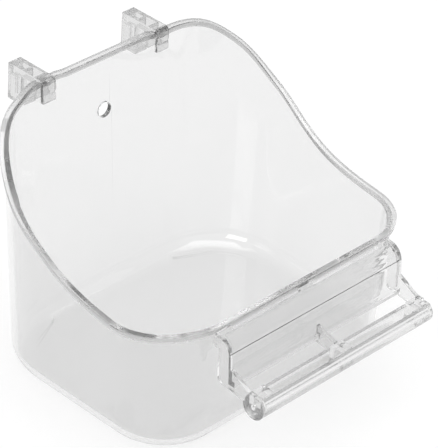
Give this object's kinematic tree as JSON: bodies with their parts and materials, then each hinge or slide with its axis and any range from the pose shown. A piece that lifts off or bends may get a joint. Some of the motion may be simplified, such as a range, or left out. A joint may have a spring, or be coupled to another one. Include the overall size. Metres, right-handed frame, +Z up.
{
  "type": "cage feeder cup",
  "caption": "Clear plastic scoop-shaped feeder cup with a high flat back, clips that hook over cage wires and a clip-on perch in front.",
  "frame": {"origin": "middle of the flat underside of the tub", "axes": "+Z up, +Y towards the cage side with the high back wall, -Y towards the low front with the perch, +X to the right of someone who faces the front"},
  "size_m": [0.1198, 0.1285, 0.089],
  "materials": {
    "tub_plastic": "clear, polished",
    "hook_plastic": "clear, polished",
    "perch_plastic": "clear, polished"
  },
  "bodies": {
    "tub": {"tub": "tub_plastic"},
    "hook_left": {"hook_left": "hook_plastic"},
    "hook_right": {"hook_right": "hook_plastic"},
    "perch": {"perch_bracket": "perch_plastic", "perch_bar": "perch_plastic"}
  },
  "joints": [
    {"name": "hook_left_slide", "type": "slide", "parent": "tub", "child": "hook_left", "axis": [1, 0, 0], "range_m": [0, 0.012]},
    {"name": "hook_right_slide", "type": "slide", "parent": "tub", "child": "hook_right", "axis": [-1, 0, 0], "range_m": [0, 0.012]},
    {"name": "perch_pull", "type": "slide", "parent": "tub", "child": "perch", "axis": [0, -1, 0], "range_m": [0, 0.02]}
  ]
}
